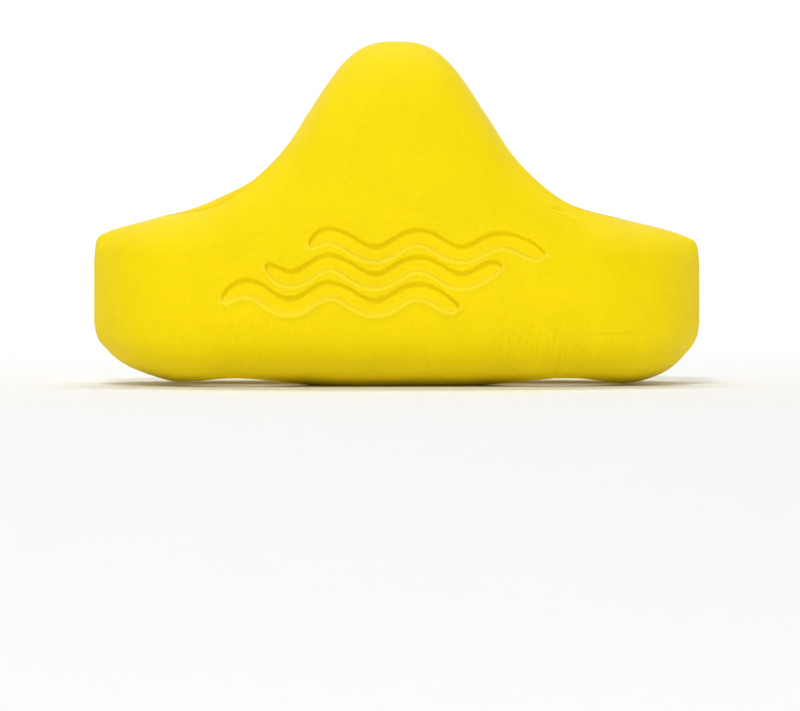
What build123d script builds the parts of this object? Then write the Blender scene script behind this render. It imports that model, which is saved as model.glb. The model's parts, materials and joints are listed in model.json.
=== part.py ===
from build123d import *
import os
from math import cos, radians, sin, sqrt

# Pull buoy: a moulded foam float with an ankle opening at each end.
#
# Frame: +X along the length, +Y from the front face to the back face, +Z up.
# The origin is the middle of the flat underside. All lengths are millimetres.
#
# The foam is two moulded halves bonded face to face on the plane Y = 0. Each
# half carries a softer liner pad round its side of each ankle opening. Foam
# and liner flex in the thin wall beside the opening, so each half is cut
# there into a core and two jaws, and each jaw turns about a living hinge.

# ---- driving dimensions -------------------------------------------------
length = 300.0
thickness = 118.0
height = 170.0

belly_height = 43.0         # level at which every cross section is widest
flat_depth = 0.8            # depth trimmed off the core to make the flat base
flat_half_length = 46.0     # half length of the flat base
wing_clearance = 0.65       # height of the wings' underside over the base

shoulder_height = 82.7      # shoulder line carried to the middle
shoulder_fall = 0.113       # fall of the shoulder line, mm for each mm of length
shoulder_ease = 20.0        # rounds the shoulder line over the middle
hump_half_width = 42.6      # spread of the hump
hump_steepness = 3.31
hump_tail = 0.627           # below 1, the hump runs out slowly into the shoulders

upper_squareness = 3.4      # power of the cross section above the belly
lower_squareness = 3.0      # power of the cross section below it
face_taper = 0.25           # share by which the faces lean in at the hump's top

tip_half_thickness = 15.0   # half thickness that the plan outline closes to
plan_fullness = 4.7         # how square the plan outline is
plan_rounding = 0.68
heel_start = 107.0          # the underside turns up from here to the tips
heel_rise = 30.0
overrun = 0.4               # the end curves close this far past the tips

hole_offset = 77.0          # centre of an ankle opening from the middle
rim_offset = 78.5           # centre of the foam wall round it, behind the liner
rim_radius = 36.5
waist_radius = 27.0         # liner face that grips the ankle
lip_half_gap = 11.2         # foam lip at its inner corner
mouth_half_gap = 18.3       # foam lip at the jaw tip
throat_half_gap = 1.0       # gap between the two liners at its narrowest
throat_end = 116.0          # the gap stays narrow out to here
throat_rounding = 12.0
flare_start = 139.0
flare_half_gap = 7.5
nose_start = 145.5
nose_half_gap = 11.5
liner_edge = 3.5            # rounding along the liner's top and bottom edges

hinge_offset = 70.0         # living hinge from the middle
section_points = 11         # points on each half of a cross section
cut_reach = 400.0           # size of the blocks that cut the pieces apart
past_tip = 12.0             # the mouth cut runs this far past the tips

half_length = length / 2
half_thickness = thickness / 2


# ---- outlines of the moulding -------------------------------------------
def top_at(x):
    """Height of the top outline: sloping shoulders and the hump."""
    slope = shoulder_fall * (sqrt(x ** 2 + shoulder_ease ** 2) - shoulder_ease)
    spread = 1 + (abs(x) / hump_half_width) ** hump_steepness
    return shoulder_height - slope + (height - shoulder_height) / spread ** hump_tail


def bottom_at(x):
    """Height of the bottom outline, before the base is trimmed flat."""
    lift = min(1.0, (abs(x) / flat_half_length) ** 4)
    u = max(0.0, abs(x) - heel_start) / (half_length + overrun - heel_start)
    heel = heel_rise * (1 - sqrt(1 - u ** 2))
    return wing_clearance * lift - flat_depth * (1 - lift) + heel


def half_thickness_at(x):
    """Half thickness of the plan outline."""
    u = abs(x) / (half_length + overrun)
    full = (1 - u ** plan_fullness) ** plan_rounding
    return tip_half_thickness + (half_thickness - tip_half_thickness) * full


def section_at(x):
    """Points round one cross section, from the bottom centre anticlockwise."""
    half_width = half_thickness_at(x)
    half = []
    for i in range(section_points):
        angle = radians(-90 + 180 * i / (section_points - 1))
        across = max(0.0, cos(angle))
        along = abs(sin(angle))
        if angle > 0:
            z = belly_height + (top_at(x) - belly_height) * along ** (2 / upper_squareness)
            lean = 1 - face_taper * (z - belly_height) / (height - belly_height)
            y = half_width * lean * across ** (2 / upper_squareness)
        else:
            z = belly_height - (belly_height - bottom_at(x)) * along ** (2 / lower_squareness)
            y = half_width * across ** (2 / lower_squareness)
        half.append((y, z))
    half[0] = (0.0, half[0][1])
    half[-1] = (0.0, half[-1][1])
    return half + [(-y, z) for y, z in half[-2:0:-1]]


station_half = (0, 14, 28, 40, 50, 60, 72, 86, 102, 118, 130, 139, 145, 148.5, 150)
stations = [-x for x in station_half[:0:-1]] + list(station_half)

# ---- blank: the whole outer shape, trimmed flat underneath --------------
with BuildPart() as blank:
    for station in stations:
        with BuildSketch(Plane.YZ.offset(station)):
            with BuildLine():
                Spline(*section_at(station), periodic=True)
            make_face()
    loft()
    split(bisect_by=Plane.XY, keep=Keep.TOP)

# ---- plan outlines of the right-hand opening ----------------------------
lip_corner_x = rim_offset + sqrt(rim_radius ** 2 - lip_half_gap ** 2)
mouth_x = half_length + past_tip
mouth_slope = (mouth_half_gap - lip_half_gap) / (half_length - lip_corner_x)
mouth_end = mouth_half_gap + mouth_slope * past_tip

with BuildSketch() as rim_outline:
    with BuildLine():
        ThreePointArc(
            (lip_corner_x, lip_half_gap),
            (rim_offset - rim_radius, 0),
            (lip_corner_x, -lip_half_gap),
        )
        Polyline(
            (lip_corner_x, -lip_half_gap),
            (mouth_x, -mouth_end),
            (mouth_x, mouth_end),
            (lip_corner_x, lip_half_gap),
        )
    make_face()

with BuildSketch() as waist_outline:
    with Locations((hole_offset, 0)):
        Circle(waist_radius)
    with BuildLine():
        Polyline(
            (hole_offset, throat_half_gap),
            (throat_end, throat_half_gap),
            (flare_start, flare_half_gap),
            (nose_start, nose_half_gap),
            (half_length, mouth_half_gap),
            (mouth_x, mouth_end),
            (mouth_x, -mouth_end),
            (half_length, -mouth_half_gap),
            (nose_start, -nose_half_gap),
            (flare_start, -flare_half_gap),
            (throat_end, -throat_half_gap),
            (hole_offset, -throat_half_gap),
            close=True,
        )
    make_face()
    throat_corners = waist_outline.vertices().filter_by_position(
        Axis.X, hole_offset + 20, throat_end - 1
    )
    fillet(throat_corners, throat_rounding)

waist_line = waist_outline.wire()


def on_waist(edge):
    """True for a top or bottom edge of the liner's face, short of the nose."""
    middle = edge @ 0.5
    off_line = Vertex(middle.X, middle.Y, 0).distance_to(waist_line)
    return edge.geom_type != GeomType.LINE and off_line < 0.01 and middle.X < flare_start


# ---- right-hand opening: foam void, and the liner between wall and waist -
with BuildPart() as right_void:
    add(rim_outline.sketch)
    extrude(amount=cut_reach / 2, both=True)

with BuildPart() as right_liner:
    add(blank.part)
    add(right_void.part, mode=Mode.INTERSECT)
    with BuildSketch():
        add(waist_outline.sketch)
    extrude(amount=cut_reach / 2, both=True, mode=Mode.SUBTRACT)
    fillet(right_liner.edges().filter_by(on_waist), liner_edge)

with BuildPart() as left_liner:
    add(right_liner.part)
    mirror(about=Plane.YZ, mode=Mode.REPLACE)

# ---- foam shell with both openings cut through ---------------------------
with BuildPart() as foam:
    add(blank.part)
    add(right_void.part, mode=Mode.SUBTRACT)
    mirror(right_void.part, about=Plane.YZ, mode=Mode.SUBTRACT)

# ---- cut planes: the bonded seam, and a living hinge on each side --------
seam = Plane.XZ             # its normal points out of the front face
keep_face = {"front": Keep.TOP, "back": Keep.BOTTOM}
right_hinge = Plane.YZ.offset(hinge_offset)
left_hinge = Plane.YZ.offset(-hinge_offset)
sides = {
    "left": (left_liner, left_hinge, Keep.BOTTOM, Keep.TOP),
    "right": (right_liner, right_hinge, Keep.TOP, Keep.BOTTOM),
}

os.makedirs("parts", exist_ok=True)


def write(piece, name):
    """Label a finished piece and write its STEP file."""
    piece.part.label = name
    export_step(piece.part, f"parts/{name}.step")


# ---- foam cores: the middle of each half, between the hinges -------------
for face, keep in keep_face.items():
    with BuildPart() as core:
        add(foam.part)
        split(bisect_by=seam, keep=keep)
        split(bisect_by=right_hinge, keep=Keep.BOTTOM)
        split(bisect_by=left_hinge, keep=Keep.TOP)
    write(core, f"{face}_core")

# ---- foam jaws, and the liners on the web and on the jaws ----------------
for side, (liner, hinge, outward, inward) in sides.items():
    for face, keep in keep_face.items():
        with BuildPart() as jaw:
            add(foam.part)
            split(bisect_by=seam, keep=keep)
            split(bisect_by=hinge, keep=outward)
        write(jaw, f"{side}_{face}_jaw")

        with BuildPart() as web_liner:
            add(liner.part)
            split(bisect_by=seam, keep=keep)
            split(bisect_by=hinge, keep=inward)
        write(web_liner, f"{side}_{face}_web_liner")

        with BuildPart() as jaw_liner:
            add(liner.part)
            split(bisect_by=seam, keep=keep)
            split(bisect_by=hinge, keep=outward)
        write(jaw_liner, f"{side}_{face}_jaw_liner")
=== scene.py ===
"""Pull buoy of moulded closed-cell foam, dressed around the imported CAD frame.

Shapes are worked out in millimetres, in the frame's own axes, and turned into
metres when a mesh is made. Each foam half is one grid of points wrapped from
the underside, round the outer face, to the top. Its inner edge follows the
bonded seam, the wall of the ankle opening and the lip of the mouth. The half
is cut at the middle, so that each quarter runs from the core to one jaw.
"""
import json
import math

import bpy
import numpy as np
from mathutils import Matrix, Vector


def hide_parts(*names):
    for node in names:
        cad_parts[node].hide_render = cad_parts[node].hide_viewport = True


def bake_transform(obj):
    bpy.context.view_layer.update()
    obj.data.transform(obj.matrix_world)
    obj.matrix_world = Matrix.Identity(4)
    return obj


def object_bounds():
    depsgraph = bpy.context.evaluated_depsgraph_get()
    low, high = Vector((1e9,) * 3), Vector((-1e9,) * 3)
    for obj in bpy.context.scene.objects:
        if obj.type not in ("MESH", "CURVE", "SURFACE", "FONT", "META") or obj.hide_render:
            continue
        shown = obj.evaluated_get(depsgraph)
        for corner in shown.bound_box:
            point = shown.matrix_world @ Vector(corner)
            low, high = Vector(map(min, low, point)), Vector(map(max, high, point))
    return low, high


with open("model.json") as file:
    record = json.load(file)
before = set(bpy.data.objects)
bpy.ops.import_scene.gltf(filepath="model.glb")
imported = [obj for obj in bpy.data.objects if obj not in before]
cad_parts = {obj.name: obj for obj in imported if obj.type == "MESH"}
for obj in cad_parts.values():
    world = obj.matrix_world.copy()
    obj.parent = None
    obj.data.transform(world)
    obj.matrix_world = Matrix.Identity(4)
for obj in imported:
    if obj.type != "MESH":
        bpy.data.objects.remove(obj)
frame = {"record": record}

cad_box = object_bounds()
MM = 1000.0
rng = np.random.default_rng(7)

# ---- sizes from the frame, in millimetres --------------------------------
record = frame["record"]
clamp = next(m for m in record["mounts"] if m["name"] == "right_ankle")
HEIGHT = cad_box[1].z * MM
HALF_THICKNESS = cad_box[1].y * MM
TIP = cad_box[1].x * MM
BELLY = clamp["pos_m"][2] * MM
HOLE = clamp["pos_m"][0] * MM
WAIST_RADIUS = clamp["dims"]["r_mm"]

# ---- form of the moulding, in millimetres --------------------------------
HALF_LENGTH = 150.0
OVERRUN = 0.4               # the end curves close this far past the tips
SHOULDER = 82.7             # shoulder line carried to the middle
SHOULDER_FALL = 0.113
SHOULDER_EASE = 20.0
HUMP_HALF_WIDTH = 42.6
HUMP_STEEPNESS = 3.31
HUMP_TAIL = 0.627
UPPER_SQUARENESS = 3.4      # power of the cross section above the belly line
LOWER_SQUARENESS = 3.0      # and below it
TIP_SQUARENESS = 1.3        # added to both at the very tips
BLUNT_START = 142.0         # and growing from here on
TAPER = 0.25                # share by which the faces lean in at the top
CLEARANCE = 0.1             # height of the wings' underside over the ground
FLAT_HALF_LENGTH = 46.0
FLAT_DEPTH = 0.8
HEEL_START = 107.0          # the underside turns up from here to the tips
HEEL_RISE = 30.0
PLAN_TIP = 15.0
PLAN_FULLNESS = 4.7
PLAN_ROUNDING = 0.68
RIM_OFFSET = 78.5           # centre of the foam wall round an opening
RIM_RADIUS = 36.5
COLUMN_BULGE = (2, 2, 8)    # how far further out the skin's columns meet the belly line
LIP_GAP = 11.2              # half gap between the foam lips, inner corner
MOUTH_GAP = 18.3            # half gap between the foam lips, jaw tip
TIP_FACET = 0.35            # the skin stops this far short of the tip point
FLATTENING = 1.2            # how far the openings' walls flatten
FLATTEST = 0.85             # at what angle they do so most
FLAT_SPREAD = 0.42          # over what angle
FLAT_FADE = 0.25            # and over what angle that ends before the corner
SEAM_CUSP = 1.3             # the pads meet at the seam in a slight cusp, this deep
CUSP_SPREAD = 0.25          # and running out over this angle
THROAT_GAP = 1.0            # half gap between the liners at its narrowest
THROAT_CORNER = 113.8       # where the liner turns out of the ankle opening
THROAT_ROUNDING = 12.0
FLARE_END = 143.0
FLARE_GAP = 9.4
FLARE_POWER = 1.4           # above 1, the throat widens slowly at first
NOSE_TURN = (148.4, 11.6)   # plan point towards which a liner's nose curves
NOSE_SHORT = (0.1, 0.8)     # how far short of the foam's tip it ends, along and across
WAIST_STEPS = (160, 30, 50, 30)     # points round the ankle, the corner, the throat, the nose
CORNER_REACH = 1.5          # length of lip each side of its corner that the pad's corner takes
ROLL_HEIGHT = 18.0          # height over which a liner rolls into its opening
ROLL_SHARE = 0.36           # but no more than this share of the opening's height
ROLL_START = 0.6            # angle at which it dips away from the foam at the crease
CREASE_STEPS = [0, 0.012, 0.028, 0.045, 0.07, 0.10, 0.14, 0.19]    # close together at the crease
ROLL_STEPS = np.concatenate([CREASE_STEPS, np.linspace(0.25, 1, 15)])
LAND_ROWS = 10              # rows on the straight wall between the two rolls
LAND_BULGE = 0.05           # how far that wall bulges, as a share of the pad's thickness
BEAD = (0.3, 0.32, 0.50)    # distance, width and height of the bead along the crease
BEAD_DIP = (1.7, 0.8, 0.30) # the same of the dip beside it
BEAD_START = 0.15           # the bead rises from the crease over this distance
FULL_BEAD_ROLL = 8.0        # and fades where the roll is lower than this

EMBLEM_WAVES = ((-44, 70, 69.5), (-65, 49, 56.5), (-86, 28, 43.5))   # start, end, level
WAVE_LENGTH = 42.0
WAVE_SWING = 4.0
WAVE_HALF_WIDTH = 3.5
WAVE_TAPER = 9.0
EMBLEM_DEPTH = 2.0
STEEP_WALL = 0.8            # width of a wave's upper wall
GENTLE_WALL = 1.9           # and of its lower wall
WALL_BLEND = 3.0            # height over which one passes into the other at a wave's end
EMBLEM_LIP = 0.9
LIP_DISTANCE = 1.3
LIP_SPREAD = (2.0, 1.0)     # away from the wave, and towards it
UPPER_LIP = 0.4             # height of the lip above a wave, as a share of the one below it
PAINTED_HIGHLIGHT_LINE = (0.7, 1.3)      # distance and width of the painted highlight along the lower lip
PAINTED_HIGHLIGHT_TINT = (0.07, 0.085, 0.03)     # painted highlight added to the colour along the lips and beads

CREASE_PATCHES = (          # middle x, z, spread of x, z, how many, how deep
    (76, 20, 36, 12, 70, 0.32), (80, 42, 24, 26, 9, 0.20), (-80, 24, 26, 18, 60, 0.28),
    (25, 15, 50, 7, 18, 0.22), (-30, 14, 50, 6, 14, 0.18),
)
CREASE_LEAN = (0.1, 0.12)   # away from the middle: mean and spread
CREASE_LENGTH = (7, 20)
CREASE_WIDTH = (0.5, 0.95)
FAINTEST_CREASE = 0.4       # depth, as a share of the deepest
STROKE_BOW = 0.072          # how strongly a stroke bows to one side

SHOULDER_FOLDS = (          # (x, z) by the right shoulder, lean, length, width, height
    ((77.5, 87.5), 1.85, 5.5, 0.9, -1.25),
    ((81, 84.8), 1.95, 12, 1.1, 0.45),
    ((94, 81.5), 2.05, 18, 1.7, -0.80),
)
BEVEL = (66, 6, 0.5)        # level, width and height of the swelling along the wings' top
BEVEL_SPAN = (92, 136, 14)  # from and to this far from the middle, and how softly it ends
PARTING = (25.6, 0.9, 0.32)     # level, width and depth of the line on the right wing
PARTING_SPAN = (101, 115, 11)
CREASED = (40, 80, 8)       # half-widths between which the face is creased, and its soft edge
MARKED = (38, 80, 6)        # the same for the emblem and the parting line
FACE_EASE = 22              # the faces grow uneven over this distance from the seam plane
GROOVE = (0.5, 0.6, 0.26)   # distance, width and depth of the groove beside a liner
SEAM_RIDGE = (0.45, 0.55)   # width and height of the ridge along the bonded seam
SEAM_DIP = (1.4, 0.8, 0.22) # distance, width and depth of the dips beside it
SEAM_BLEND = 10             # columns over which the seam passes into the groove

LEFT_WING = 1.25            # how far the wings' tops stand above or below the plain form
RIGHT_WING = -1.6
RIGHT_TIP = 0.9             # the right wing's tip rises again by this much
LEFT_HEEL = 2.4
WARP_EASE = 20              # the bumps on the flanks rise over this distance off the seam plane
FLANK_BUMPS = ((-37, 7, 1.1), (54, 10, -1.8), (-66, 14, 2.6))   # x, spread, height
BACK_BUMPS = ((-85, 15, 3.1),)
FRONT_BUMPS = ((-94, 17, -1.5),)
HEEL_BUMPS = ((-121, 16, 2.1), (143, 7, 0.9))

HALVINGS = 50               # steps of the search for a rim's angle
TRIAL_ROWS = 900            # points along a column before its rows are chosen
EDGE_CROWDING = 1.6         # how much closer the rows lie towards an edge
LOW_BAND = (22, 0.7)        # the rows are even from this far below the belly line
HIGH_BAND = (39, 0.82)      # to this far above it, or this share of the way to the edge


# ==== form =================================================================
def top_at(x):
    """Height of the top outline: sloping shoulders and the hump."""
    slope = SHOULDER_FALL * (np.sqrt(x ** 2 + SHOULDER_EASE ** 2) - SHOULDER_EASE)
    spread = 1 + (np.abs(x) / HUMP_HALF_WIDTH) ** HUMP_STEEPNESS
    return SHOULDER - slope + (HEIGHT - SHOULDER) / spread ** HUMP_TAIL


def bottom_at(x):
    """Height of the bottom outline, before the base is pressed flat."""
    lift = np.minimum(1, (np.abs(x) / FLAT_HALF_LENGTH) ** 4)
    u = np.clip((np.abs(x) - HEEL_START) / (HALF_LENGTH + OVERRUN - HEEL_START), 0, 1)
    heel = HEEL_RISE * (1 - np.sqrt(1 - u ** 2))
    return CLEARANCE * lift - FLAT_DEPTH * (1 - lift) + heel


def half_thickness_at(x):
    """Half thickness of the plan outline."""
    u = np.minimum(1, np.abs(x) / (HALF_LENGTH + OVERRUN))
    full = (1 - u ** PLAN_FULLNESS) ** PLAN_ROUNDING
    return PLAN_TIP + (HALF_THICKNESS - PLAN_TIP) * full


def surface(x, angle):
    """Half-width and height of the cross section at x, at an angle from the belly line."""
    blunt = TIP_SQUARENESS * step(np.abs(x), BLUNT_START, HALF_LENGTH + OVERRUN)
    power = 2 / (np.where(angle > 0, UPPER_SQUARENESS, LOWER_SQUARENESS) + blunt)
    rise = np.where(angle > 0, top_at(x) - BELLY, BELLY - bottom_at(x))
    z = BELLY + np.sign(angle) * rise * np.abs(np.sin(angle)) ** power
    lean = 1 - TAPER * np.maximum(z - BELLY, 0) / (HEIGHT - BELLY)
    across = half_thickness_at(x) * lean * np.maximum(np.cos(angle), 0) ** power
    return across, np.maximum(z, 0)


def rim_angles(x, y):
    """Angles at which the cross section at x reaches half-width y, below and above."""
    found = []
    for end in (-math.pi / 2, math.pi / 2):
        inner = np.zeros_like(x)
        outer = np.full_like(x, end)
        for _ in range(HALVINGS):
            middle = (inner + outer) / 2
            wide = surface(x, middle)[0] > y
            inner = np.where(wide, middle, inner)
            outer = np.where(wide, outer, middle)
        found.append(inner)
    return found


def ridge(distance, width):
    """Height of a soft ridge 1 high, at a distance from its crest."""
    return np.exp(-(distance / width) ** 2)


def smooth(t):
    """Smooth step from 0 to 1."""
    t = np.clip(t, 0, 1)
    return t * t * (3 - 2 * t)


def step(value, start, end):
    """Smooth step from 0 at start to 1 at end."""
    return smooth((value - start) / (end - start))


# ==== plan of the inner edge ==============================================
def inner_edge(fine, coarse):
    """Plan points of a quarter's inner edge, and where each column meets the belly line.

    The edge runs along the seam, round the opening's wall and out along the lip."""
    back = RIM_OFFSET - RIM_RADIUS
    corner_x = RIM_OFFSET + math.sqrt(RIM_RADIUS ** 2 - LIP_GAP ** 2)
    corner_angle = math.atan2(LIP_GAP, corner_x - RIM_OFFSET)
    slope = (MOUTH_GAP - LIP_GAP) / (HALF_LENGTH - corner_x)
    seam_x = np.linspace(0, back, round(back / fine) + 1)[:-1]
    crown = math.pi / 2
    behind = np.linspace(math.pi, crown, round(RIM_RADIUS * crown / fine) + 1)[:-1]
    ahead_length = RIM_RADIUS * (crown - corner_angle)
    ahead = np.linspace(crown, corner_angle, round(ahead_length / coarse) + 1)[:-1]
    arc = np.concatenate([behind, ahead])
    radius = flattened(RIM_RADIUS, arc, corner_angle)
    lip_x = np.linspace(corner_x, TIP - TIP_FACET, round((TIP - corner_x) / coarse) + 1)
    x = np.concatenate([seam_x, RIM_OFFSET + radius * np.cos(arc), lip_x])
    lip_y = LIP_GAP + slope * (lip_x - corner_x)
    y = np.concatenate([0 * seam_x, radius * np.sin(arc), lip_y])
    run = np.concatenate([[0], np.cumsum(np.hypot(np.diff(x), np.diff(y)))])
    at = run[[0, len(seam_x), len(seam_x) + len(behind), len(seam_x) + len(arc), -1]]
    marks = np.array([back, RIM_OFFSET, corner_x]) + COLUMN_BULGE
    outer = np.interp(run, at, [0, *marks, TIP - TIP_FACET])
    return x, y, outer, len(seam_x)


def flattened(radius, angle, last):
    """Radius of a round wall, which runs straighter where it turns towards the throat."""
    fade = smooth((angle - last) / FLAT_FADE)
    return radius - FLATTENING * ridge(angle - FLATTEST, FLAT_SPREAD) * fade


def quarter_grid(fine, coarse, rows):
    """Points of a quarter's skin for +x and +y, as rows by columns by 3.

    Its columns run from the rim below to the rim above, and bulge out from the inner
    edge. rows holds the numbers of rows below, in and above the evenly spaced band."""
    x_in, y_in, x_out, seam_columns = inner_edge(fine, coarse)
    low, high = rim_angles(x_in, y_in)
    sweep = np.sin(np.linspace(-1, 1, TRIAL_ROWS) * math.pi / 2)[:, None] / 2 + 0.5
    angle = low + (high - low) * sweep

    def place(angle):
        share = np.where(angle > 0, angle / high, angle / low)
        x = x_in + (x_out - x_in) * (1 - share ** 2) ** 2
        across, z = surface(x, angle)
        return np.stack([x, across, z], axis=-1)

    points = place(angle)
    run = run_down(points)
    z_low = BELLY - np.minimum(LOW_BAND[0], LOW_BAND[1] * (BELLY - bottom_at(x_out)))
    z_high = BELLY + np.minimum(HIGH_BAND[0], HIGH_BAND[1] * (top_at(x_out) - BELLY))
    rising = 1e-6 * np.arange(len(points))      # keeps z increasing along a flat stretch
    below, band, above = rows
    grow = np.linspace(0, 1, below + 1) ** EDGE_CROWDING
    fade = 1 - np.linspace(1, 0, above + 1) ** EDGE_CROWDING
    chosen = np.empty((below + band + above + 1, len(x_in)))
    for j in range(len(x_in)):
        first, second = np.interp([z_low[j], z_high[j]], points[:, j, 2] + rising, run[:, j])
        end = run[-1, j]
        target = np.concatenate([
            grow[:-1] * first,
            np.linspace(first, second, band + 1)[:-1],
            second + fade * (end - second),
        ])
        chosen[:, j] = np.interp(target, run[:, j], angle[:, j])
    return place(chosen), seam_columns


def run_down(points):
    """Length along each column of a grid, from its first row."""
    steps = np.linalg.norm(np.diff(points, axis=0), axis=-1)
    return np.vstack([np.zeros(points.shape[1]), np.cumsum(steps, axis=0)])


def grid_normals(points, towards):
    """Unit normals of a grid of points, on the side that the vector towards points to."""
    down = np.gradient(points, axis=0)
    along = np.gradient(points, axis=1)
    normal = np.cross(along, down)
    length = np.linalg.norm(normal, axis=-1, keepdims=True)
    normal = normal / np.maximum(length, 1e-12)
    middle = normal[len(points) // 2, points.shape[1] // 2]
    return normal * np.sign(middle @ np.asarray(towards, float))


# ==== relief of the skin ==================================================
def window(value, start, end, edge):
    """1 between start and end, falling to 0 over edge on each side."""
    return smooth((value - start) / edge + 1) * smooth((end - value) / edge + 1)


def stroke(x, z, place, lean, length, width):
    """A crease in the face at place = (x, z), leaning from upright by lean."""
    along = (z - place[1]) * math.cos(lean) + (x - place[0]) * math.sin(lean)
    across = (x - place[0]) * math.cos(lean) - (z - place[1]) * math.sin(lean)
    bow = across + STROKE_BOW * along ** 2 / length
    return ridge(bow, width) * ridge(along, length / 2)


def swell(x, z, face):
    """Slow unevenness of a moulded face: three waves of unrelated lengths."""
    phase = 1.7 * face
    return (
        0.30 * np.sin(x / 31 + phase) * np.sin(z / 23 + 1.1 + phase)
        + 0.16 * np.sin(x / 13 + z / 19 + 2 * phase)
        + 0.08 * np.sin(x / 7.3 - z / 11 + phase)
    )


def creases(x, z):
    """Shallow upright creases where the foam has flexed beside the openings."""
    depth = np.zeros_like(x)
    for x_mid, z_mid, x_spread, z_spread, count, strength in CREASE_PATCHES:
        for _ in range(count):
            place = (rng.normal(x_mid, x_spread / 2), rng.normal(z_mid, z_spread / 2))
            lean = rng.normal(CREASE_LEAN[0] * np.sign(x_mid), CREASE_LEAN[1])
            size = rng.uniform(*CREASE_LENGTH), rng.uniform(*CREASE_WIDTH)
            deepest = strength * rng.uniform(FAINTEST_CREASE, 1)
            depth -= deepest * stroke(x, z, place, lean, *size)
    return depth


def emblem(x, z):
    """Relief of the emblem on the front face, and where a highlight is painted on it.

    It is three pressed waves with raised lips. The upper wall of a wave is steep, its
    lower wall runs out gently. A paler colour along the lower lip is a painted highlight."""
    pressed = np.zeros_like(x)
    lip = np.zeros_like(x)
    painted_highlight = np.zeros_like(x)
    for start, end, level in EMBLEM_WAVES:
        phase = 2 * math.pi * (x - EMBLEM_WAVES[0][0]) / WAVE_LENGTH
        slope = WAVE_SWING * 2 * math.pi / WAVE_LENGTH * np.cos(phase)
        ends = np.clip((x - start) / WAVE_TAPER, 0, 1) * np.clip((end - x) / WAVE_TAPER, 0, 1)
        half_width = WAVE_HALF_WIDTH * np.sqrt(np.maximum(ends * (2 - ends), 0))
        beyond = np.maximum(np.maximum(start - x, x - end), 0)
        over = (z - level - WAVE_SWING * np.sin(phase)) / np.hypot(1, slope)
        outside = np.hypot(over, beyond) - half_width
        upper = smooth(over / WALL_BLEND + 0.5)
        wall = GENTLE_WALL + (STEEP_WALL - GENTLE_WALL) * upper
        pressed = np.maximum(pressed, smooth(0.5 - outside / wall))
        beside = outside - LIP_DISTANCE
        share = 1 + (UPPER_LIP - 1) * upper
        lip = np.maximum(lip, ridge(beside, np.where(beside > 0, *LIP_SPREAD)) * share)
        # painted highlight: a paler colour along each wave's lower lip
        painted_highlight = np.maximum(painted_highlight, ridge(outside - PAINTED_HIGHLIGHT_LINE[0], PAINTED_HIGHLIGHT_LINE[1]) * (1 - upper))
    return EMBLEM_LIP * lip - EMBLEM_DEPTH * pressed, painted_highlight


def seam_relief(x, across, top):
    """The bonded seam: a fine wandering ridge of uneven height, with a dip along each side."""
    wander = 0.35 * np.sin(x / 6.1 + top) + 0.25 * np.sin(x / 2.7 + 1 + 2 * top)
    off = across - wander
    uneven = 0.75 + 0.25 * np.sin(x / 4.3 + 2)
    width, height = SEAM_RIDGE
    distance, dip_width, depth = SEAM_DIP
    dips = ridge(off - distance, dip_width) + ridge(off + distance, dip_width)
    return height * uneven * ridge(off, width) - depth * dips


def skin_relief(points, face, is_seam):
    """How far the skin of a half stands out from its plain form, and where a highlight is
    painted on it.
    """
    x, y, z = points[..., 0], np.abs(points[..., 1]), points[..., 2]
    from_low = run_down(points)
    from_high = from_low[-1] - from_low
    level, width, height = BEVEL
    bevel = height * ridge(z - level, width) * window(np.abs(x), *BEVEL_SPAN)
    relief = (swell(x, z, face) + bevel) * smooth(y / FACE_EASE)
    relief += creases(x, z) * window(y, *CREASED)
    painted_highlight = np.zeros_like(x)
    for distance, top in ((from_low, 0), (from_high, 1)):
        groove = -GROOVE[2] * ridge(distance - GROOVE[0], GROOVE[1])
        seam = seam_relief(x, face * distance, top)
        relief += groove * (1 - is_seam) + seam * is_seam
    if face < 0:
        outer = window(y, *MARKED)
        waves, painted_highlight = emblem(x, z)
        relief += waves * outer
        for place, lean, length, width, height in SHOULDER_FOLDS:
            relief += height * stroke(x, z, place, lean, length, width)
        level, width, depth = PARTING
        relief -= depth * ridge(z - level, width) * window(x, *PARTING_SPAN) * outer
    return relief, painted_highlight


def bumps(x, table):
    """Height of a row of soft bumps, each given as (x, spread, height)."""
    return sum(height * ridge(x - middle, spread) for middle, spread, height in table)


def warp(points):
    """Uneven cooling: the left wing and its heel stand higher, and the flanks are uneven."""
    x, y, z = points[..., 0], points[..., 1], points[..., 2]
    wings = np.where(x < 0, LEFT_WING, RIGHT_WING + RIGHT_TIP * step(x, 108, 133))
    top = wings * step(np.abs(x), 60, 86)
    for side, table in ((np.abs(y), FLANK_BUMPS), (y, BACK_BUMPS), (-y, FRONT_BUMPS)):
        top = top + smooth(side / WARP_EASE) * bumps(x, table)
    heel = LEFT_HEEL * step(-x, 104, 150) * step(x, -152, -143) + bumps(x, HEEL_BUMPS)
    upper = step(z, 18, 63)
    lift = upper * top + (1 - upper) * heel
    return points + np.stack([0 * x, 0 * x, lift], axis=-1)


def half_grid(face, fine, coarse, rows):
    """The whole skin of a foam half, left tip to right tip, its outward normals and painted
    highlight.
    """
    quarter, seam_columns = quarter_grid(fine, coarse, rows)
    points = np.concatenate([quarter[:, :0:-1] * (-1, 1, 1), quarter], axis=1)
    points = points * (1, face, 1)
    from_middle = np.abs(np.arange(points.shape[1]) - points.shape[1] // 2)
    is_seam = smooth((seam_columns - from_middle) / SEAM_BLEND + 0.5)
    normals = grid_normals(points, (0, face, 0))
    relief, painted_highlight = skin_relief(points, face, is_seam)
    points = warp(points + relief[..., None] * normals)
    on_seam = from_middle <= seam_columns
    points[0, on_seam, 1] = 0
    points[-1, on_seam, 1] = 0
    points[..., 2] = np.maximum(points[..., 2], 0)
    return points, grid_normals(points, (0, face, 0)), painted_highlight, seam_columns


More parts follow.
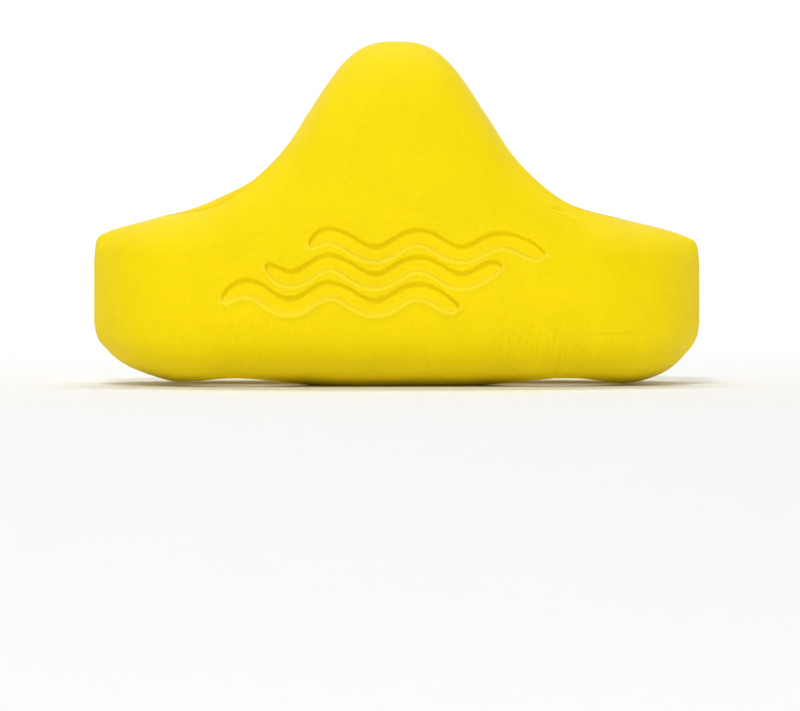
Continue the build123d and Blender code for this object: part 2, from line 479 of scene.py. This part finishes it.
# ==== liner pads ==========================================================
def waist_line():
    """Plan points along the face of a liner: round the ankle, out the throat, over the nose.

    Also gives the indices of the last point round the ankle and the last of the corner."""
    ankle_steps, corner_steps, throat_steps, nose_steps = WAIST_STEPS
    corner = np.array([THROAT_CORNER, THROAT_GAP + THROAT_ROUNDING])
    meet = math.atan2(corner[1], corner[0] - HOLE)
    round_ankle = np.linspace(math.pi, meet, ankle_steps)
    radius = flattened(WAIST_RADIUS, round_ankle, meet)
    radius = radius + SEAM_CUSP * np.exp((round_ankle - math.pi) / CUSP_SPREAD)
    circle = np.stack([
        HOLE + radius * np.cos(round_ankle), radius * np.sin(round_ankle)
    ], axis=1)
    turn = np.linspace(meet + math.pi, 1.5 * math.pi, corner_steps)[1:]
    rounding = corner + THROAT_ROUNDING * np.stack([np.cos(turn), np.sin(turn)], axis=1)
    out = np.linspace(THROAT_CORNER, FLARE_END, throat_steps)[1:]
    flare = ((out - THROAT_CORNER) / (FLARE_END - THROAT_CORNER)) ** FLARE_POWER
    throat = np.stack([out, THROAT_GAP + (FLARE_GAP - THROAT_GAP) * flare], axis=1)
    t = np.linspace(0, 1, nose_steps)[1:, None]
    nose_start = np.array([FLARE_END, FLARE_GAP])
    nose_end = np.array([TIP - TIP_FACET, MOUTH_GAP]) - NOSE_SHORT
    nose = (1 - t) ** 2 * nose_start + 2 * t * (1 - t) * np.array(NOSE_TURN) + t ** 2 * nose_end
    line = np.concatenate([circle, rounding, throat, nose])
    return line, len(circle) - 1, len(circle) + len(rounding) - 1


def waist_points(rim):
    """The waist line's point for each plan point of the rim, matched stretch by stretch."""
    line, arc_end, corner_end = waist_line()
    run = run_down(line[:, None])[:, 0]
    rim_run = run_down(rim[:, None])[:, 0]
    off_lip = np.where(rim[:, 0] < HOLE, np.inf, np.abs(rim[:, 1] - LIP_GAP))
    corner_at = rim_run[np.argmin(off_lip)]
    rim_marks = [0, corner_at - CORNER_REACH, corner_at + CORNER_REACH, rim_run[-1]]
    waist_marks = [0, run[arc_end], run[corner_end], run[-1]]
    at = np.interp(rim_run, rim_marks, waist_marks)
    return np.stack([np.interp(at, run, line[:, k]) for k in (0, 1)], axis=1)


def liner_grid(skin, skin_normals):
    """A liner pad's skin for one quarter, where its bead lies, and the way it faces.

    It leaves the foam's rim below at a crease, rolls over into the opening, runs up its
    wall and rolls out to the rim above."""
    mirror = np.sign(skin[0, -1, :2])
    low, high = skin[0] * (*mirror, 1), skin[-1] * (*mirror, 1)
    waist = waist_points(low[:, :2])
    turn = ROLL_START + (math.pi / 2 - ROLL_START) * ROLL_STEPS
    out = (np.sin(turn) - math.sin(ROLL_START)) / (1 - math.sin(ROLL_START))
    sunk = 1 - np.cos(turn) / math.cos(ROLL_START)
    land = np.linspace(0, 1, LAND_ROWS + 2)[1:-1]
    wall = 1 + LAND_BULGE * np.sin(math.pi * land)
    inset = np.concatenate([out, wall, out[::-1]])[:, None, None]
    share = smooth(np.linspace(0, 1, len(inset)))[:, None, None]
    rim = low[:, :2] * (1 - share) + high[:, :2] * share
    plan = rim + (waist - rim) * inset
    x, y = plan[..., 0], plan[..., 1]
    below, above = outer_heights(x, y)
    below = below + low[:, 2] - outer_heights(low[:, 0], low[:, 1])[0]
    above = above + high[:, 2] - outer_heights(high[:, 0], high[:, 1])[1]
    n = len(turn)
    roll = np.minimum(ROLL_HEIGHT, ROLL_SHARE * (above[n] - below[n]))
    z = np.empty_like(x)
    z[:n] = below[:n] + roll * sunk[:, None]
    z[-n:] = above[-n:] - roll * sunk[::-1, None]
    z[n:-n] = z[n - 1] + (z[-n] - z[n - 1]) * land[:, None]
    depth = np.linalg.norm(plan - rim, axis=-1)
    bead = ridge(depth - BEAD[0], BEAD[1])
    raised = BEAD[2] * bead - BEAD_DIP[2] * ridge(depth - BEAD_DIP[0], BEAD_DIP[1])
    raised = raised * smooth(depth / BEAD_START) * smooth(roll / FULL_BEAD_ROLL)
    points = np.stack([x, y, z], axis=-1) * (*mirror, 1)
    points[:n] += raised[:n, :, None] * skin_normals[0]
    points[-n:] += raised[-n:, :, None] * skin_normals[-1]
    on_wall = points[len(points) // 2, np.argmin(np.abs(low[:, 0] - HOLE))]
    return points, bead, (HOLE * mirror[0] - on_wall[0], -on_wall[1], 0)


def outer_heights(x, y):
    """Heights at which the moulding's outer form stands over a plan point, below and above."""
    y = np.minimum(y, half_thickness_at(x) * 0.9999)
    return [surface(x, angle)[1] for angle in rim_angles(x, y)]


# ==== meshes ==============================================================
def make_mesh(name, points, faces, smooth_faces, sharp=(), normals=None):
    """A mesh object from points in millimetres. normals gives the smooth faces their shading."""
    mesh = bpy.data.meshes.new(name)
    mesh.from_pydata((points / MM).tolist(), [], faces)
    mesh.polygons.foreach_set("use_smooth", smooth_faces)
    mesh.update()
    if len(sharp):
        wanted = {tuple(sorted(e)) for e in sharp}
        flags = [tuple(sorted(e.vertices)) in wanted for e in mesh.edges]
        attribute = mesh.attributes.new("sharp_edge", "BOOLEAN", "EDGE")
        attribute.data.foreach_set("value", flags)
    if normals is not None:
        vertex = np.empty(len(mesh.loops), int)
        mesh.loops.foreach_get("vertex_index", vertex)
        per_corner = normals[vertex]
        for polygon, is_smooth in zip(mesh.polygons, smooth_faces):
            if not is_smooth:
                per_corner[list(polygon.loop_indices)] = polygon.normal
        mesh.normals_split_custom_set(per_corner.tolist())
    obj = bpy.data.objects.new(name, mesh)
    bpy.context.scene.collection.objects.link(obj)
    return obj


def grid_faces(rows, columns, flip):
    """Quads of a grid of points numbered row by row."""
    i, j = np.meshgrid(np.arange(rows - 1), np.arange(columns - 1), indexing="ij")
    a = (i * columns + j).ravel()
    quads = np.stack([a, a + columns, a + columns + 1, a + 1], axis=1)
    return quads[:, ::-1].tolist() if flip else quads.tolist()


def close_grid(rows, columns, flip):
    """Faces that close an open grid: a strip from its last row to its first, and both ends."""
    last = (rows - 1) * columns
    strip = [[j, j + 1, last + j + 1, last + j] for j in range(columns - 1)]
    start = [i * columns for i in range(rows)]
    end = [i * columns + columns - 1 for i in range(rows)]
    faces = strip + [start[::-1], end[::-1]]
    return [f[::-1] for f in faces] if flip else faces


def rim_edges(rows, columns):
    """Edges round the border of a grid, where the skin meets its closing faces."""
    last = (rows - 1) * columns
    edges = [(j, j + 1) for j in range(columns - 1)]
    edges += [(last + j, last + j + 1) for j in range(columns - 1)]
    edges += [(i * columns, (i + 1) * columns) for i in range(rows - 1)]
    edges += [((i + 1) * columns - 1, (i + 2) * columns - 1) for i in range(rows - 1)]
    return edges


def solid_from_grid(name, points, normals, painted_highlight):
    """A closed mesh whose skin is the grid, facing the way its normals point.

    A point attribute on it says where a highlight is painted into the foam's colour."""
    rows, columns = points.shape[:2]
    i, j = rows // 2, columns // 2
    wound = np.cross(points[i + 1, j] - points[i, j], points[i, j + 1] - points[i, j])
    flip = bool(wound @ normals[i, j] < 0)
    skin = grid_faces(rows, columns, flip)
    closing = close_grid(rows, columns, flip)
    smooth_faces = [True] * len(skin) + [False] * len(closing)
    obj = make_mesh(
        name, points.reshape(-1, 3), skin + closing, smooth_faces,
        rim_edges(rows, columns), normals.reshape(-1, 3),
    )
    attribute = obj.data.attributes.new("painted_highlight", "FLOAT", "POINT")
    attribute.data.foreach_set("value", painted_highlight.ravel())
    return obj


# ==== foam ================================================================
def node(tree, kind, inputs=None, **settings):
    """A shader node with its settings, and its input values or links."""
    made = tree.nodes.new(kind)
    for name, value in settings.items():
        setattr(made, name, value)
    for name, value in (inputs or {}).items():
        if isinstance(value, bpy.types.NodeSocket):
            tree.links.new(value, made.inputs[name])
        else:
            made.inputs[name].default_value = value
    return made


def noise(tree, place, scale, detail):
    """Noise over the surface, its scale in cycles to the metre along each axis."""
    stretched = node(tree, "ShaderNodeMapping", {"Vector": place, "Scale": scale})
    return node(tree, "ShaderNodeTexNoise", {
        "Vector": stretched.outputs[0], "Scale": 1.0, "Detail": detail, "Distortion": 0.4,
    }).outputs["Fac"]


def near(tree, value, full, gone):
    """Node output that is 1 where the value is below full, and 0 where it is above gone."""
    return node(tree, "ShaderNodeMapRange", {
        "Value": value, "From Min": full, "From Max": gone, "To Min": 1.0, "To Max": 0.0,
    }, interpolation_type="SMOOTHSTEP").outputs[0]


def times(tree, first, second):
    """Node output that is the product of two others."""
    return node(tree, "ShaderNodeMath", {0: first, 1: second}, operation="MULTIPLY").outputs[0]


def foam_material(name, colour):
    """Moulded closed-cell foam: matte, finely grained, with a slightly uneven colour."""
    material = bpy.data.materials.new(name)
    material.use_nodes = True
    tree = material.node_tree
    shader = tree.nodes["Principled BSDF"]
    shader.inputs["Roughness"].default_value = 0.6
    shader.inputs["Specular IOR Level"].default_value = 0.4
    shader.inputs["Specular Tint"].default_value = (1.0, 0.84, 0.2, 1)
    place = node(tree, "ShaderNodeTexCoord").outputs["Object"]
    cloud = noise(tree, place, (40, 40, 40), 4.0)
    mottle = noise(tree, place, (600, 600, 600), 2.0)
    uneven = node(tree, "ShaderNodeMath", {0: cloud, 1: mottle}).outputs[0]
    shade = node(tree, "ShaderNodeMapRange", {
        "Value": uneven, "From Min": 0.7, "From Max": 1.3, "To Min": 0.96, "To Max": 1.03,
    }).outputs[0]
    tinted = node(tree, "ShaderNodeVectorMath", {0: colour, "Scale": shade}, operation="SCALE")
    # painted highlight: a paler colour added where the point attribute says, along the emblem's
    # lower lips and the liners' beads
    painted_highlight = node(tree, "ShaderNodeAttribute", attribute_name="painted_highlight").outputs["Fac"]
    added = node(tree, "ShaderNodeVectorMath", {0: PAINTED_HIGHLIGHT_TINT, "Scale": painted_highlight}, operation="SCALE")
    both = {0: tinted.outputs[0], 1: added.outputs[0]}
    final = node(tree, "ShaderNodeVectorMath", both, operation="ADD")
    tree.links.new(final.outputs[0], shader.inputs["Base Color"])

    grain = noise(tree, place, (260, 260, 1100), 3.0)
    fine = node(tree, "ShaderNodeBump", {"Height": grain, "Strength": 0.6, "Distance": 0.0002})
    axes = node(tree, "ShaderNodeSeparateXYZ", {"Vector": place})
    across = axes.outputs["Y"]
    off_seam = node(tree, "ShaderNodeMath", {0: across}, operation="ABSOLUTE").outputs[0]
    by_base = near(tree, axes.outputs["Z"], 0.003, 0.010)
    under = times(tree, by_base, near(tree, off_seam, 0.008, 0.034))
    pulled = times(tree, noise(tree, place, (55, 520, 520), 3.0), under)
    crepe = node(tree, "ShaderNodeBump", {
        "Height": pulled, "Strength": 0.5, "Distance": 0.0005, "Normal": fine.outputs[0],
    })
    tree.links.new(crepe.outputs[0], shader.inputs["Normal"])
    return material


# ==== pieces ==============================================================
FACES = {"front": -1, "back": 1}
SIDES = {"left": -1, "right": 1}
DETAIL = {                  # column spacing by the seam, by the mouth, and numbers of rows
    "front": (0.5, 0.8, (44, 165, 84)),
    "back": (1.0, 1.3, (46, 44, 70)),
}


def quarter_of(grid, side):
    """One side's share of a half's grid, from the middle out to the tip."""
    middle = grid.shape[1] // 2
    return grid[:, middle:] if side == "right" else grid[:, middle::-1]


def foam_quarter(side, face, points, normals, painted_highlight, material):
    """Foam from the bonded seam and the opening out to the face, core and jaw in one."""
    obj = solid_from_grid(f"{side}_{face}_foam", points, normals, painted_highlight)
    obj.data.materials.append(material)
    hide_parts(f"{face}_core", f"{side}_{face}_jaw")
    bend(obj)


def liner(side, face, points, normals, material):
    """The softer pad round one side of an ankle opening."""
    grid, bead, inward = liner_grid(points, normals)
    # the bead's mask also sets where a highlight is painted along the bead
    obj = solid_from_grid(f"{side}_{face}_liner", grid, grid_normals(grid, inward), bead)
    obj.data.materials.append(material)
    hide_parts(f"{side}_{face}_web_liner", f"{side}_{face}_jaw_liner")
    bend(obj)


def bend(obj):
    """Moves the piece's transform into its mesh."""
    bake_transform(obj)


skin_foam = foam_material("skin_foam", (0.915, 0.700, 0.0))
liner_foam = foam_material("liner_foam", (0.905, 0.685, 0.0))
for face in FACES:
    points, normals, painted_highlight, seam_columns = half_grid(FACES[face], *DETAIL[face])
    for side in SIDES:
        part, part_normals = quarter_of(points, side), quarter_of(normals, side)
        foam_quarter(side, face, part, part_normals, quarter_of(painted_highlight, side), skin_foam)
        liner(side, face, part[:, seam_columns:], part_normals[:, seam_columns:], liner_foam)


# ==== stage, light and camera =============================================
def stage():
    """A near-white round floor that runs up into a backdrop all round, with no visible corner.
    """
    turns = 96
    flat = 2.1
    bend_radius = 0.9
    wall_height = 2.2
    rise = np.linspace(0, math.pi / 2, 16)
    profile = [(flat + bend_radius * math.sin(a), bend_radius * (1 - math.cos(a))) for a in rise]
    profile.append((flat + bend_radius, wall_height))
    around = np.arange(turns) * 2 * math.pi / turns
    points = [
        (radius * MM * math.cos(a), radius * MM * math.sin(a), height * MM)
        for radius, height in profile for a in around
    ]
    faces = [list(range(turns))]
    for start in range(0, len(points) - turns, turns):
        for j in range(turns):
            k = (j + 1) % turns
            faces.append([start + k, start + j, start + turns + j, start + turns + k])
    floor = make_mesh("backdrop", np.array(points), faces, [True] * len(faces))
    material = bpy.data.materials.new("pale_floor")
    material.use_nodes = True
    shader = material.node_tree.nodes["Principled BSDF"]
    shader.inputs["Base Color"].default_value = (0.88, 0.88, 0.88, 1)
    shader.inputs["Roughness"].default_value = 0.9
    floor.data.materials.append(material)


def area_light(name, place, target, size, watts):
    """A soft rectangular light at place, aimed at target."""
    light = bpy.data.lights.new(name, "AREA")
    light.shape = "RECTANGLE"
    light.size, light.size_y = size
    light.energy = watts
    obj = bpy.data.objects.new(name, light)
    obj.location = place
    obj.rotation_euler = (Vector(target) - Vector(place)).to_track_quat("-Z", "Y").to_euler()
    bpy.context.scene.collection.objects.link(obj)


def lights():
    """A soft key from the upper left, a weak low fill, a wash on the backdrop, a dim world."""
    area_light("key", (-0.38, -1.50, 1.90), (0, 0, 0.08), (0.55, 0.35), 24)
    area_light("low_fill", (0.2, -1.9, 0.14), (0, 0, 0.05), (1.6, 0.2), 5.5)
    area_light("backdrop_wash", (0, 0.9, 2.8), (0, 2.4, 0.5), (3.0, 0.8), 66)
    world = bpy.data.worlds.new("studio")
    world.use_nodes = True
    world.node_tree.nodes["Background"].inputs["Color"].default_value = (1, 1, 1, 1)
    world.node_tree.nodes["Background"].inputs["Strength"].default_value = 0.17
    bpy.context.scene.world = world
    bpy.context.scene.view_settings.view_transform = "Standard"


def camera():
    """Nearly level, far enough off to see the front face almost without perspective."""
    distance = 1.8
    view_width = 0.399
    azimuth = math.radians(-2.0)
    elevation = math.radians(1.8)
    target = Vector((0.0018, 0, 0.0141))
    away = Vector((
        math.sin(azimuth) * math.cos(elevation),
        -math.cos(azimuth) * math.cos(elevation),
        math.sin(elevation),
    ))
    data = bpy.data.cameras.new("camera")
    data.sensor_width = 36
    data.lens = data.sensor_width * distance / view_width
    obj = bpy.data.objects.new("camera", data)
    obj.location = target + away * distance
    obj.rotation_euler = (-away).to_track_quat("-Z", "Y").to_euler()
    bpy.context.scene.collection.objects.link(obj)
    bpy.context.scene.camera = obj


stage()
lights()
camera()
